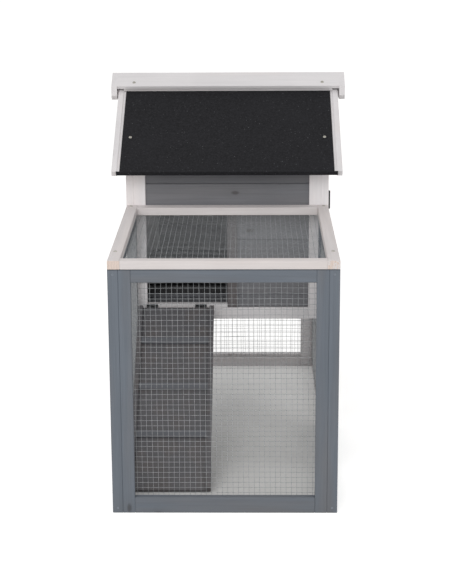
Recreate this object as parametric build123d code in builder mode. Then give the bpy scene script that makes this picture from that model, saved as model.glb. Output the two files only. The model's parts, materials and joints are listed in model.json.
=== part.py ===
from build123d import *
from math import atan2, cos, radians, sin, tan
import os

# Two-tier guinea pig hutch: a low mesh run in front of a small house on legs.
# Millimetres. +X is to the right of someone who looks at the run's front, +Y runs from the
# run to the house, +Z is up. The origin is on the ground under the middle of the whole hutch.

# Timber and clearances
eased = 1.0                 # chamfer along the edges of planed timber
door_gap = 3.0              # gap all round a door
seat_gap = 0.3              # gap under a moving piece that rests on a fixed one
foot_gap = 0.5              # gap between the ramp's foot and the ground

# Run: side panels outside, the front panel between them, a flat frame on top
run_width = 521.0
run_length = 606.0
run_height = 583.0          # top of the panels, under the top frame
side_thickness = 24.0
front_thickness = 18.0
front_stile = 28.0
side_stile = 30.0
middle_stile = 28.0
fixed_bay = 238.0           # mesh bay of the right side, in front of the run door
top_rail = 30.0
bottom_rail = 38.0
top_frame_thickness = 20.0
top_frame_side = 28.0
top_frame_front = 26.0
top_frame_rear = 36.0

# Welded wire, drawn with every fifth wire of its 12.5 mm squares
wire = 1.0
wire_pitch = 62.5
wire_lap = 8.0              # how far a sheet laps over the frame it is stapled to
wire_edge_gap = 1.5         # gap between a sheet's edge and the next panel

# House
house_width = 524.0
house_depth = 540.0
wall_thickness = 19.0
leg_width = 40.0
front_wall_stile = 31.0
back_wall_stile = 34.0
jamb_width = 26.0
doorway_width = 211.0
floor_rail_z = 296.0        # underside of the rails that carry the floor
floor_rail = 31.0
floor_thickness = 10.0
back_rail_above_floor = 17.0
bearer = 20.0
eaves_rail = 34.0
plank_pitch = 74.0
plank_thickness = 9.0
first_plank = 35.0          # the cut plank above the front wall's bottom rail
plank_gap = 0.5
plank_bevel = 1.6
tongue_thickness = 3.0
tongue_length = 5.0
tongue_play = 0.3

# Roof
roof_pitch = 29.4           # degrees
ridge_height = 912.0
rafter_depth = 28.0
ridge_beam_thickness = 18.0
ridge_beam_depth = 40.0
deck_thickness = 9.0
deck_length = 375.0         # down the slope from the ridge
ridge_clearance = 2.0       # from the ridge line to the top end of each deck
felt_thickness = 2.0
felt_inset = 6.5            # from each end of the deck to the felt's edge
hem_thickness = 3.0
hem_ear = 2.0               # how far the hem passes each end of the deck
trim_width = 14.0
trim_above = 12.0           # trim's top, above the deck's underside
trim_below = 5.0
trim_clearance = 4.0        # from a trim to the ridge cap's end plate
batten_thickness = 9.0
batten_width = 25.0
batten_setback = 3.0
cap_thickness = 10.0
cap_width = 60.0
cap_length = 626.0
end_plate_thickness = 15.0
end_plate_width = 110.0
end_plate_z = 845.0
end_plate_corner = 12.0
lid_strip = 35.0            # felt strip between the ridge cap and the lid

# Opening of the house door in the right gable
threshold = 20.0
head_rail = 31.0
above_head = 25.8           # from the rail over the door to the gable's rafter
# Both doors
door_thickness = 18.0
door_member = 36.0

# Tray
tray_length = 475.0
tray_width = 410.0
tray_height = 27.0
tray_wall = 2.5
tray_corner = 12.0
tray_back_gap = 27.0
slot_height = 35.0
guide_width = 9.0
guide_height = 6.0
guide_gap = 1.0
knob_radius = 13.0
knob_length = 20.0
knob_neck = 6.0
knob_shoulder = 8.0         # height of the neck
knob_rim = 15.0             # height of the widest place

# Ramp
ramp_width = 198.0
ramp_left_gap = 2.5         # from the run's left panel to the ramp
ramp_foot = 133.0           # from the run's front face to the ramp's foot
ramp_board = 9.0
ramp_rail_width = 12.0
ramp_rail_height = 19.0
ramp_start = 12.0           # from the hinge pin to the ramp's top end
rung_width = 18.0
rung_height = 7.0
rung_pitch = 146.0
first_rung = 125.0
rung_count = 3

# Hinges
pin_radius = 1.5
pin_play = 0.05
leaf_thickness = 1.5
knuckle_radius = 3.0
knuckle_gap = 0.4
leaf_reach = 27.0
leaf_height = 48.0
sill_leaf_reach = 8.0
ramp_knuckle_radius = 3.5
ramp_leaf_width = 30.0
ramp_hinge_inset = 35.0     # from each edge of the ramp to the middle of its hinge
lid_hinge_x = 170.0
house_hinge_inset = 48.0
run_hinge_inset = 70.0

# Barrel bolts
bolt_radius = 3.0
bolt_play = 0.08
bolt_length = 48.0
bolt_travel = 12.0
bolt_height = 6.0           # bolt's axis above the door's face
plate_thickness = 1.5
plate_length = 34.0
plate_width = 26.0
guide_length = 8.0
keeper_length = 10.0
keeper_play = 0.5
keeper_gap = 5.0            # from the door's edge to the keeper
bolt_knob_radius = 2.5
bolt_knob_length = 14.0

# Screws
screw_radius = 1.9
screw_head_radius = 4.2
screw_head_height = 1.8
screw_length = 34.0
screw_hole = 2.0            # radius of the holes the screws sit in
screw_edge = 90.0           # from the run's front face to the first screw of its top
screw_rear = 16.0
roof_screw_inset = 27.5     # from the ends of the deck to the screws of the roof
felt_screw_down = 238.0     # from the ridge down the front slope to the screws in the felt

# Places worked out from the sizes above
pitch = radians(roof_pitch)
hem_end = deck_length + hem_thickness
hem_reach = hem_end * cos(pitch) + (deck_thickness + felt_thickness) * sin(pitch)
overall_length = run_length + house_depth / 2 + hem_reach
front_y = -overall_length / 2
wall_y = front_y + run_length
back_y = wall_y + house_depth
ridge_y = (wall_y + back_y) / 2
run_side = run_width / 2
run_inside = run_side - side_thickness
house_side = house_width / 2
house_inside = house_side - wall_thickness
run_top = run_height + top_frame_thickness
floor_rail_top = floor_rail_z + floor_rail
floor_z = floor_rail_top + floor_thickness
roof_stack = deck_thickness + felt_thickness
cap_low = roof_stack + batten_thickness
cap_high = cap_low + cap_thickness
roof_z = ridge_height - cap_high / cos(pitch)
leg_front = (wall_y, wall_y + leg_width)
leg_back = (back_y - leg_width, back_y)
slot_top = floor_z + slot_height
front_wall = (wall_y, wall_y + wall_thickness)
back_wall = (back_y - wall_thickness, back_y)

os.makedirs("parts", exist_ok=True)
finished = []


def keep(builder, name):
    """Labels a finished piece with its node's name."""
    builder.part.label = name
    finished.append(builder.part)


def on_side(side, inner, outer):
    """The X span between two distances from the middle, on one side (-1 left, 1 right)."""
    return tuple(sorted((side * inner, side * outer)))


def bar(x, y, z):
    """Adds a straight piece that fills the spans x, y and z, each a (low, high) pair."""
    with Locations((sum(x) / 2, sum(y) / 2, sum(z) / 2)):
        Box(x[1] - x[0], y[1] - y[0], z[1] - z[0])


def under_roof(y, depth=0.0):
    """Height at y of the plane that lies depth below the underside of the roof deck."""
    return roof_z - abs(y - ridge_y) * tan(pitch) - depth / cos(pitch)


eaves_z = under_roof(wall_y) - eaves_rail
door_head_z = under_roof(leg_front[1], rafter_depth) - above_head - head_rail


def wire_sheet(plane, width, height):
    """Outline of a welded wire sheet, centred on the plane, with its outer wires on the edge."""
    columns = round(width / wire_pitch)
    rows = round(height / wire_pitch)
    gap_x = (width - wire) / columns - wire
    gap_y = (height - wire) / rows - wire
    with BuildSketch(plane) as sheet:
        Rectangle(width, height)
        with GridLocations(gap_x + wire, gap_y + wire, columns, rows):
            Rectangle(gap_x, gap_y, mode=Mode.SUBTRACT)
    return sheet.sketch


def side_sheet(x, y, z, side):
    """Adds a wire sheet that stands along Y and Z, stapled to frames whose face is at x."""
    plane = Plane(origin=(x, sum(y) / 2, sum(z) / 2), x_dir=(0, 1, 0), z_dir=(1, 0, 0))
    extrude(wire_sheet(plane, y[1] - y[0], z[1] - z[0]), amount=side * wire)


def cross_sheet(x, y, z, side):
    """Adds a wire sheet that stands along X and Z, stapled to frames whose face is at y."""
    plane = Plane(origin=(sum(x) / 2, y, sum(z) / 2), x_dir=(1, 0, 0), z_dir=(0, -1, 0))
    extrude(wire_sheet(plane, x[1] - x[0], z[1] - z[0]), amount=-side * wire)


def plank_section(plane, low, high, with_groove, with_tongue):
    """Cross section of a tongue-and-groove plank; the plane's Y axis points up."""
    body_low = low + plank_gap / 2
    body_high = high - plank_gap / 2
    with BuildSketch(plane) as section:
        with Locations((0, (body_low + body_high) / 2)):
            Rectangle(plank_thickness, body_high - body_low)
        chamfer(section.vertices(), plank_bevel)
        if with_tongue:
            with Locations((0, body_high)):
                Rectangle(tongue_thickness, 2 * tongue_length)
        if with_groove:
            with Locations((0, body_low)):
                Rectangle(
                    tongue_thickness + 2 * tongue_play,
                    2 * (tongue_length + tongue_play + plank_gap),
                    mode=Mode.SUBTRACT,
                )
    return section.sketch


def planks(plane, length, joints):
    """Adds planks along the plane's normal, one between each two heights in joints."""
    last = len(joints) - 2
    for row, (low, high) in enumerate(zip(joints, joints[1:])):
        extrude(plank_section(plane, low, high, row > 0, row < last), amount=length)


def plank_joints(low, high):
    """Heights of the plank joints from low to high, on the hutch's common plank lines."""
    line = floor_rail_top + first_plank
    joints = [low]
    while line < high - 2 * tongue_length:
        if line > low + 2 * tongue_length:
            joints.append(line)
        line += plank_pitch
    return joints + [high]


def hinge_leaves(spots, reach, height, radius, middle):
    """Hinge leaves at the given planes: Z along the pin, X along the leaf, Y out of the wood.

    The middle knuckle belongs to one leaf of a hinge, the two end knuckles to the other.
    """
    third = height / 3
    centres = [0.0] if middle else [-third, third]
    knuckle = third - knuckle_gap
    seat = -(radius + seat_gap)
    clear = radius + seat_gap
    with BuildPart(*spots) as leaves:
        with Locations(((clear + reach) / 2, seat + leaf_thickness / 2, 0)):
            Box(reach - clear, leaf_thickness, height)
        for centre in centres:
            with Locations((clear / 2, seat + leaf_thickness / 2, centre)):
                Box(clear, leaf_thickness, knuckle)
            with Locations((0, 0, centre)):
                Cylinder(radius, knuckle)
        for centre in centres:
            with Locations((0, 0, centre)):
                Cylinder(pin_radius + pin_play, knuckle, mode=Mode.SUBTRACT)
    return leaves


deck_width = cap_length - 2 * (end_plate_thickness + trim_clearance + trim_width)
felt_width = deck_width - 2 * felt_inset
hem_width = deck_width + 2 * hem_ear

# Section planes of the two roof slopes: X down the slope, Y square to it, out of the roof
front_slope = Plane(
    origin=(0, ridge_y, roof_z), x_dir=(0, -cos(pitch), -sin(pitch)), z_dir=(-1, 0, 0)
)
rear_slope = Plane(
    origin=(0, ridge_y, roof_z), x_dir=(0, cos(pitch), -sin(pitch)), z_dir=(1, 0, 0)
)
cap_top_edge = -cap_high * tan(pitch)
cap_low_edge = cap_top_edge + cap_width
strip_end = cap_low_edge + lid_strip
lid_start = strip_end + door_gap


def slab(down, up):
    """Sketches the section of a flat roof layer over the spans down the slope and square to it."""
    with Locations((sum(down) / 2, sum(up) / 2)):
        Rectangle(down[1] - down[0], up[1] - up[0])


# Run, front panel
front_span = (front_y, front_y + front_thickness)
opening_x = run_inside - front_stile
opening_z = (bottom_rail, run_height - top_rail)
sheet_z = (opening_z[0] - wire_lap, opening_z[1] + wire_lap)

with BuildPart() as run_front_stiles:
    for side in (-1, 1):
        bar(on_side(side, opening_x, run_inside), front_span, (0, run_height))
    chamfer(run_front_stiles.edges(), eased)
keep(run_front_stiles, "run_front_stiles")

with BuildPart() as run_front_rails:
    bar((-opening_x, opening_x), front_span, (0, bottom_rail))
    bar((-opening_x, opening_x), front_span, (run_height - top_rail, run_height))
    chamfer(run_front_rails.edges(), eased)
keep(run_front_rails, "run_front_rails")

with BuildPart() as run_front_mesh:
    cross_sheet((-opening_x - wire_lap, opening_x + wire_lap), front_span[1], sheet_z, 1)
keep(run_front_mesh, "run_front_mesh")

# Screws that hold the run's top frame down on its side panels
screw_x = run_side - side_thickness / 2
screw_spots = [
    (side * screw_x, y, run_top)
    for side in (-1, 1)
    for y in (front_y + screw_edge, wall_y - screw_rear)
]

# Run, side panels: the left one has one bay, the right one a fixed bay and the door's bay
post_front = (front_y, front_y + side_stile)
post_rear = (wall_y - side_stile, wall_y)
post_middle = (post_front[1] + fixed_bay, post_front[1] + fixed_bay + middle_stile)

with BuildPart() as run_side_stiles:
    for side in (-1, 1):
        for span in (post_front, post_rear):
            bar(on_side(side, run_inside, run_side), span, (0, run_height))
    bar(on_side(1, run_inside, run_side), post_middle, opening_z)
    chamfer(run_side_stiles.edges(), eased)
    with Locations(*screw_spots):
        Hole(screw_hole, screw_length)
keep(run_side_stiles, "run_side_stiles")

with BuildPart() as run_side_rails:
    for side in (-1, 1):
        for span in ((0, bottom_rail), (run_height - top_rail, run_height)):
            bar(on_side(side, run_inside, run_side), (post_front[1], post_rear[0]), span)
    chamfer(run_side_rails.edges(), eased)
    with Locations(*screw_spots):
        Hole(screw_hole, screw_length)
keep(run_side_rails, "run_side_rails")

with BuildPart() as run_side_meshes:
    side_sheet(-run_inside, (post_front[1] - wire_lap, post_rear[0] + wire_lap), sheet_z, 1)
    side_sheet(run_inside, (post_front[1] - wire_lap, post_middle[0] + wire_lap), sheet_z, -1)
keep(run_side_meshes, "run_side_meshes")

# Run, top frame, screwed down on the side panels
top_z = (run_height, run_top)
top_side_x = run_side - top_frame_side

with BuildPart() as run_top_side_rails:
    for side in (-1, 1):
        bar(on_side(side, top_side_x, run_side), (front_y, wall_y), top_z)
    chamfer(run_top_side_rails.edges(), eased)
    with Locations(*screw_spots):
        Hole(screw_hole, screw_length)
keep(run_top_side_rails, "run_top_side_rails")

with BuildPart() as run_top_cross_rails:
    for span in ((front_y, front_y + top_frame_front), (wall_y - top_frame_rear, wall_y)):
        bar((-top_side_x, top_side_x), span, top_z)
    chamfer(run_top_cross_rails.edges(), eased)
keep(run_top_cross_rails, "run_top_cross_rails")

top_sheet_x = run_inside - wire_edge_gap
top_sheet_y = (front_span[1] + wire + wire_edge_gap, wall_y - top_frame_rear + wire_lap)

with BuildPart() as run_top_mesh:
    sheet_middle = Plane((0, sum(top_sheet_y) / 2, run_height - wire))
    extrude(wire_sheet(sheet_middle, 2 * top_sheet_x, top_sheet_y[1] - top_sheet_y[0]), amount=wire)
keep(run_top_mesh, "run_top_mesh")

with BuildPart() as run_top_screws:
    with Locations(*screw_spots):
        Cylinder(
            screw_head_radius, screw_head_height, align=(Align.CENTER, Align.CENTER, Align.MIN)
        )
        Cylinder(screw_radius, screw_length, align=(Align.CENTER, Align.CENTER, Align.MAX))
    chamfer(run_top_screws.edges().group_by(Axis.Z)[-1], screw_head_height / 2)
keep(run_top_screws, "run_top_screws")

# House, front wall with the doorway onto the ramp
stile_inner = house_inside - front_wall_stile
jamb_x = (doorway_width - stile_inner, doorway_width - stile_inner + jamb_width)
doorway_top = floor_rail_top + first_plank + 3 * plank_pitch


def eaves_section(y_inner, y_outer):
    """Section of a rail under the eaves, its top cut to the slope of the roof."""
    with BuildSketch(Plane.YZ.offset(-house_inside)) as section:
        Polygon(
            (y_outer, eaves_z),
            (y_outer, under_roof(y_outer)),
            (y_inner, under_roof(y_inner)),
            (y_inner, eaves_z),
            align=None,
        )
    return section.sketch


with BuildPart() as house_front_stiles:
    for side in (-1, 1):
        bar(on_side(side, stile_inner, house_inside), front_wall, (floor_rail_z, eaves_z))
    chamfer(house_front_stiles.edges(), eased)
keep(house_front_stiles, "house_front_stiles")

with BuildPart() as doorway_jamb:
    bar(jamb_x, front_wall, (floor_rail_top, doorway_top))
    chamfer(doorway_jamb.edges(), eased)
keep(doorway_jamb, "doorway_jamb")

with BuildPart() as house_front_rails:
    bar((-stile_inner, stile_inner), front_wall, (floor_rail_z, floor_rail_top))
    extrude(eaves_section(front_wall[1], front_wall[0]), amount=2 * house_inside)
keep(house_front_rails, "house_front_rails")

with BuildPart() as house_front_boards:
    middle_y = sum(front_wall) / 2
    field = Plane(origin=(jamb_x[1], middle_y, 0), x_dir=(0, 1, 0), z_dir=(1, 0, 0))
    planks(field, stile_inner - jamb_x[1], plank_joints(floor_rail_top, doorway_top))
    above = Plane(origin=(-stile_inner, middle_y, 0), x_dir=(0, 1, 0), z_dir=(1, 0, 0))
    planks(above, 2 * stile_inner, plank_joints(doorway_top, eaves_z))
keep(house_front_boards, "house_front_boards")

with BuildPart() as door_sill:
    bar((-stile_inner, jamb_x[0]), front_wall, (floor_rail_top, floor_z))
    chamfer(door_sill.edges().filter_by(Axis.X), eased)
keep(door_sill, "door_sill")

# House, side walls: four legs, rails between them, rafters along the gables
with BuildPart() as house_side_legs:
    for side in (-1, 1):
        for near, far in (leg_front, leg_back):
            with BuildSketch(Plane.YZ.offset(min(side * house_inside, side * house_side))):
                Polygon(
                    (near, 0),
                    (far, 0),
                    (far, under_roof(far, rafter_depth)),
                    (near, under_roof(near, rafter_depth)),
                    align=None,
                )
            extrude(amount=wall_thickness)
    chamfer(house_side_legs.edges(), eased)
keep(house_side_legs, "house_side_legs")

between_legs = (leg_front[1], leg_back[0])
door_z = (slot_top + threshold, door_head_z)

with BuildPart() as house_side_rails:
    for side in (-1, 1):
        for span in ((0, bottom_rail), (floor_rail_z, floor_z)):
            bar(on_side(side, house_inside, house_side), between_legs, span)
    for span in ((slot_top, slot_top + threshold), (door_head_z, door_head_z + head_rail)):
        bar(on_side(1, house_inside, house_side), between_legs, span)
    chamfer(house_side_rails.edges(), eased)
keep(house_side_rails, "house_side_rails")

beam_side = ridge_beam_thickness / 2
with BuildPart() as gable_rafters:
    for wall_x in (-house_side, house_inside):
        for eave, beam in ((wall_y, ridge_y - beam_side), (back_y, ridge_y + beam_side)):
            with BuildSketch(Plane.YZ.offset(wall_x)):
                Polygon(
                    (eave, under_roof(eave, rafter_depth)),
                    (beam, under_roof(beam, rafter_depth)),
                    (beam, under_roof(beam)),
                    (eave, under_roof(eave)),
                    align=None,
                )
            extrude(amount=wall_thickness)
keep(gable_rafters, "gable_rafters")

with BuildPart() as ridge_beam:
    with BuildSketch(Plane.YZ):
        Polygon(
            (ridge_y - beam_side, roof_z - ridge_beam_depth),
            (ridge_y + beam_side, roof_z - ridge_beam_depth),
            (ridge_y + beam_side, under_roof(ridge_y + beam_side)),
            (ridge_y, roof_z),
            (ridge_y - beam_side, under_roof(ridge_y - beam_side)),
            align=None,
        )
    extrude(amount=house_side, both=True)
keep(ridge_beam, "ridge_beam")

plank_top = roof_z - ridge_beam_depth
with BuildPart() as gable_boards:
    for side, low in ((-1, floor_z), (1, door_head_z + head_rail)):
        wall_middle = side * (house_inside + wall_thickness / 2)
        field = Plane(
            origin=(wall_middle, between_legs[0], 0), x_dir=(-1, 0, 0), z_dir=(0, 1, 0)
        )
        planks(field, between_legs[1] - between_legs[0], plank_joints(low, plank_top))
    for slope in (front_slope, rear_slope):
        underside = Plane(slope.origin - slope.y_dir * rafter_depth, z_dir=slope.y_dir)
        split(bisect_by=underside, keep=Keep.BOTTOM)
keep(gable_boards, "gable_boards")

# House, back wall, with a mesh window below the floor
back_inner = house_inside - back_wall_stile
back_rail_top = floor_z + back_rail_above_floor
with BuildPart() as house_back_stiles:
    for side in (-1, 1):
        bar(on_side(side, back_inner, house_inside), back_wall, (0, eaves_z))
    chamfer(house_back_stiles.edges(), eased)
keep(house_back_stiles, "house_back_stiles")

with BuildPart() as house_back_rails:
    for span in ((0, bottom_rail), (floor_rail_z, back_rail_top)):
        bar((-back_inner, back_inner), back_wall, span)
    extrude(eaves_section(back_wall[0], back_wall[1]), amount=2 * house_inside)
keep(house_back_rails, "house_back_rails")

with BuildPart() as house_back_boards:
    field = Plane(
        origin=(-back_inner, sum(back_wall) / 2, 0), x_dir=(0, 1, 0), z_dir=(1, 0, 0)
    )
    planks(field, 2 * back_inner, plank_joints(back_rail_top, eaves_z))
keep(house_back_boards, "house_back_boards")

low_sheet_z = (bottom_rail - wire_lap, floor_rail_z + wire_lap)
low_sheet_y = (leg_front[1] - wire_lap, leg_back[0] + wire_lap)
with BuildPart() as under_house_meshes:
    for side in (-1, 1):
        side_sheet(side * house_inside, low_sheet_y, low_sheet_z, -side)
    cross_sheet(
        (-back_inner - wire_lap, back_inner + wire_lap), back_wall[0], low_sheet_z, -1
    )
keep(under_house_meshes, "under_house_meshes")

# House floor, on bearers fixed to the side rails
floor_y = (front_wall[1], back_wall[0])
with BuildPart() as floor_bearers:
    for side in (-1, 1):
        bar(
            on_side(side, house_inside - bearer, house_inside),
            floor_y,
            (floor_rail_top - bearer, floor_rail_top),
        )
    chamfer(floor_bearers.edges(), eased)
keep(floor_bearers, "floor_bearers")

with BuildPart() as house_floor:
    bar((-house_inside, house_inside), floor_y, (floor_rail_top, floor_z))
keep(house_floor, "house_floor")

# Tray, which slides out to the right through the slot under the house door
tray_y = (back_wall[0] - tray_back_gap - tray_width, back_wall[0] - tray_back_gap)
tray_middle_y = sum(tray_y) / 2
tray_z = floor_z + seat_gap

with BuildPart() as tray_guides:
    for span in (
        (tray_y[0] - guide_gap - guide_width, tray_y[0] - guide_gap),
        (tray_y[1] + guide_gap, tray_y[1] + guide_gap + guide_width),
    ):
        bar((-house_inside, house_inside), span, (floor_z, floor_z + guide_height))
    chamfer(tray_guides.edges().group_by(Axis.Z)[-1], eased)
keep(tray_guides, "tray_guides")

with BuildPart() as tray:
    with BuildSketch(Plane((house_inside - tray_length / 2, tray_middle_y, tray_z))):
        RectangleRounded(tray_length, tray_width, tray_corner)
    extrude(amount=tray_height)
    offset(amount=-tray_wall, openings=tray.faces().sort_by(Axis.Z)[-1])
keep(tray, "tray")

with BuildPart() as tray_fascia:
    bar(
        (house_inside, house_side),
        (between_legs[0] + door_gap, between_legs[1] - door_gap),
        (tray_z, slot_top - seat_gap),
    )
    chamfer(tray_fascia.edges(), eased)
keep(tray_fascia, "tray_fascia")

knob_rise = knob_length - knob_rim
knob_dome = (knob_radius**2 + knob_rise**2) / (2 * knob_rise)    # its centre lies on the knob's axis
knob_base = Plane(
    origin=(house_side, tray_middle_y, (floor_z + slot_top) / 2), x_dir=(0, 1, 0), z_dir=(1, 0, 0)
)
knob_section = Plane(origin=knob_base.origin, x_dir=knob_base.x_dir, z_dir=-knob_base.y_dir)
with BuildPart() as tray_knob:
    with BuildSketch(knob_section):
        with BuildLine():
            Polyline(
                (0, knob_length),
                (0, 0),
                (knob_neck, 0),
                (knob_neck, knob_shoulder),
                (knob_radius, knob_rim),
            )
            RadiusArc((knob_radius, knob_rim), (0, knob_length), -knob_dome)
        make_face()
    revolve(axis=Axis(knob_base.origin, knob_base.z_dir))
keep(tray_knob, "tray_knob")

# Roof, fixed part: the whole front slope, and a strip behind the ridge that carries the lid
fixed_slopes = ((front_slope, deck_length), (rear_slope, strip_end))


def roof_spots(slope, down, up):
    """Planes for the two screws of a roof layer, near the deck's ends, square to the slope."""
    screw_side = deck_width / 2 - roof_screw_inset
    return [
        Plane(origin=slope.from_local_coords((down, up, x)), z_dir=slope.y_dir)
        for x in (-screw_side, screw_side)
    ]


felt_screws = roof_spots(front_slope, felt_screw_down, roof_stack)
cap_screw_down = cap_low_edge - batten_setback - batten_width / 2
cap_screws = [
    spot for slope in (front_slope, rear_slope)
    for spot in roof_spots(slope, cap_screw_down, cap_high)
]

with BuildPart() as roof_decks:
    for slope, end in fixed_slopes:
        with BuildSketch(slope):
            slab((ridge_clearance, end), (0, deck_thickness))
        extrude(amount=deck_width / 2, both=True)
    with Locations(*felt_screws):
        Hole(screw_hole, roof_stack)
keep(roof_decks, "roof_decks")

with BuildPart() as roof_felts:
    for slope, end in fixed_slopes:
        with BuildSketch(slope):
            slab((ridge_clearance, end), (deck_thickness, roof_stack))
        extrude(amount=felt_width / 2, both=True)
    with BuildSketch(front_slope):
        slab((deck_length, hem_end), (0, roof_stack))
    extrude(amount=hem_width / 2, both=True)
    with Locations(*felt_screws):
        Hole(screw_hole, felt_thickness)
keep(roof_felts, "roof_felts")


def trims(slope, down):
    """Adds the pair of trims that cover the ends of a deck."""
    for side in (-1, 1):
        with BuildSketch(slope.offset(side * deck_width / 2)) as section:
            slab(down, (-trim_below, trim_above))
        extrude(section.sketch, amount=side * trim_width)


trim_start = ridge_clearance + trim_below
with BuildPart() as roof_trims:
    for slope, end in fixed_slopes:
        trims(slope, (trim_start, end))
    chamfer(roof_trims.edges(), eased)
keep(roof_trims, "roof_trims")

# Lid: the rest of the rear slope, hinged to the fixed strip
lid_lift = seat_gap
with BuildPart() as lid_deck:
    with BuildSketch(rear_slope):
        slab((lid_start, deck_length), (lid_lift, deck_thickness))
    extrude(amount=deck_width / 2, both=True)
keep(lid_deck, "lid_deck")

with BuildPart() as lid_felt:
    with BuildSketch(rear_slope):
        slab((lid_start, deck_length), (deck_thickness, roof_stack))
    extrude(amount=felt_width / 2, both=True)
    with BuildSketch(rear_slope):
        slab((deck_length, hem_end), (lid_lift, roof_stack))
    extrude(amount=hem_width / 2, both=True)
keep(lid_felt, "lid_felt")

with BuildPart() as lid_trims:
    trims(rear_slope, (lid_start, deck_length))
    chamfer(lid_trims.edges(), eased)
keep(lid_trims, "lid_trims")

# Ridge cap: two boards on battens, closed by an end plate at each end
cap_inside = cap_length / 2 - end_plate_thickness
batten_end = cap_low_edge - batten_setback

with BuildPart() as ridge_battens:
    for slope in (front_slope, rear_slope):
        with BuildSketch(slope):
            slab((batten_end - batten_width, batten_end), (roof_stack, cap_low))
        extrude(amount=deck_width / 2, both=True)
    with Locations(*cap_screws):
        Hole(screw_hole, cap_thickness + batten_thickness)
keep(ridge_battens, "ridge_battens")

cap_mitre = plank_gap / 2
with BuildPart() as ridge_cap_boards:
    for slope in (front_slope, rear_slope):
        with BuildSketch(slope):
            Polygon(
                (cap_mitre - cap_low * tan(pitch), cap_low),
                (cap_low_edge, cap_low),
                (cap_low_edge, cap_high),
                (cap_mitre - cap_high * tan(pitch), cap_high),
                align=None,
            )
        extrude(amount=cap_inside, both=True)
    cap_edges = ridge_cap_boards.edges().filter_by(Axis.X).group_by(Axis.Z)
    chamfer(cap_edges[0] + cap_edges[1], eased)
    with Locations(*cap_screws):
        Hole(screw_hole, cap_thickness)
keep(ridge_cap_boards, "ridge_cap_boards")

plate_side = end_plate_width / 2
plate_shoulder = under_roof(ridge_y + plate_side, -cap_high)
with BuildPart() as ridge_end_plates:
    for plate_x in (-cap_length / 2, cap_inside):
        with BuildSketch(Plane.YZ.offset(plate_x)) as plate:
            Polygon(
                (ridge_y - plate_side, end_plate_z),
                (ridge_y + plate_side, end_plate_z),
                (ridge_y + plate_side, plate_shoulder),
                (ridge_y, ridge_height),
                (ridge_y - plate_side, plate_shoulder),
                align=None,
            )
            chamfer(plate.vertices().group_by(Axis.Y)[0], end_plate_corner)
        extrude(amount=end_plate_thickness)
keep(ridge_end_plates, "ridge_end_plates")

with BuildPart() as roof_screws:
    for spots, length in ((felt_screws, roof_stack), (cap_screws, cap_thickness + batten_thickness)):
        with Locations(*spots):
            Cylinder(
                screw_head_radius, screw_head_height, align=(Align.CENTER, Align.CENTER, Align.MIN)
            )
            Cylinder(screw_radius, length, align=(Align.CENTER, Align.CENTER, Align.MAX))
keep(roof_screws, "roof_screws")

# Ramp, hinged to the door sill; its own plane lies along the underside's slope,
# with X to the right, Y up the ramp and Z square to it
ramp_pin_y = wall_y - ramp_knuckle_radius - seat_gap
ramp_pin_z = floor_z - sill_leaf_reach
ramp_angle = atan2(ramp_pin_z, ramp_pin_y - front_y - ramp_foot)
ramp_left = -run_inside + ramp_left_gap
ramp_right = ramp_left + ramp_width
ramp_under = ramp_knuckle_radius + seat_gap
ramp_top = ramp_under + ramp_board
ramp_end = (ramp_pin_z - foot_gap + ramp_under * cos(ramp_angle)) / sin(ramp_angle)
ramp_plane = Plane(
    origin=(0, ramp_pin_y, ramp_pin_z),
    x_dir=(1, 0, 0),
    z_dir=(0, -sin(ramp_angle), cos(ramp_angle)),
)
ramp_inner = (ramp_left + ramp_rail_width, ramp_right - ramp_rail_width)

with BuildPart(ramp_plane) as ramp_panel:
    bar(ramp_inner, (-ramp_end, -ramp_start), (ramp_under, ramp_top))
keep(ramp_panel, "ramp_panel")

with BuildPart(ramp_plane) as ramp_side_rails:
    for span in ((ramp_left, ramp_inner[0]), (ramp_inner[1], ramp_right)):
        bar(span, (-ramp_end, -ramp_start), (ramp_under, ramp_under + ramp_rail_height))
    chamfer(ramp_side_rails.edges(), eased)
keep(ramp_side_rails, "ramp_side_rails")

with BuildPart(ramp_plane) as ramp_rungs:
    for rung in range(rung_count):
        middle = -(first_rung + rung * rung_pitch)
        along = (middle - rung_width / 2, middle + rung_width / 2)
        bar(ramp_inner, along, (ramp_top, ramp_top + rung_height))
    chamfer(ramp_rungs.edges().filter_by(Axis.X), eased)
keep(ramp_rungs, "ramp_rungs")

# House door, in the right gable
house_door_y = (between_legs[0] + door_gap, between_legs[1] - door_gap)
house_door_z = (door_z[0] + door_gap, door_z[1] - door_gap)
house_door_x = (house_side - door_thickness, house_side)


def door_members(x, y, z):
    """Spans of a door's two stiles and of the two rails between them."""
    stiles = [(x, (y[0], y[0] + door_member), z), (x, (y[1] - door_member, y[1]), z)]
    between = (y[0] + door_member, y[1] - door_member)
    rails = [(x, between, (z[0], z[0] + door_member)), (x, between, (z[1] - door_member, z[1]))]
    return stiles, rails


house_stiles, house_rails = door_members(house_door_x, house_door_y, house_door_z)
with BuildPart() as house_door_stiles:
    for spans in house_stiles:
        bar(*spans)
    chamfer(house_door_stiles.edges(), eased)
keep(house_door_stiles, "house_door_stiles")

with BuildPart() as house_door_rails:
    for spans in house_rails:
        bar(*spans)
    chamfer(house_door_rails.edges(), eased)
keep(house_door_rails, "house_door_rails")

with BuildPart() as house_door_boards:
    field = Plane(
        origin=(house_side - door_thickness / 2, house_door_y[0] + door_member, 0),
        x_dir=(-1, 0, 0),
        z_dir=(0, 1, 0),
    )
    panel_z = (house_door_z[0] + door_member, house_door_z[1] - door_member)
    planks(field, house_door_y[1] - house_door_y[0] - 2 * door_member, plank_joints(*panel_z))
keep(house_door_boards, "house_door_boards")

# Run door, in the rear bay of the run's right side
run_door_y = (post_middle[1] + door_gap, post_rear[0] - door_gap)
run_door_z = (opening_z[0] + door_gap, opening_z[1] - door_gap)
run_door_x = (run_side - door_thickness, run_side)
run_stiles, run_rails = door_members(run_door_x, run_door_y, run_door_z)

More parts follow.
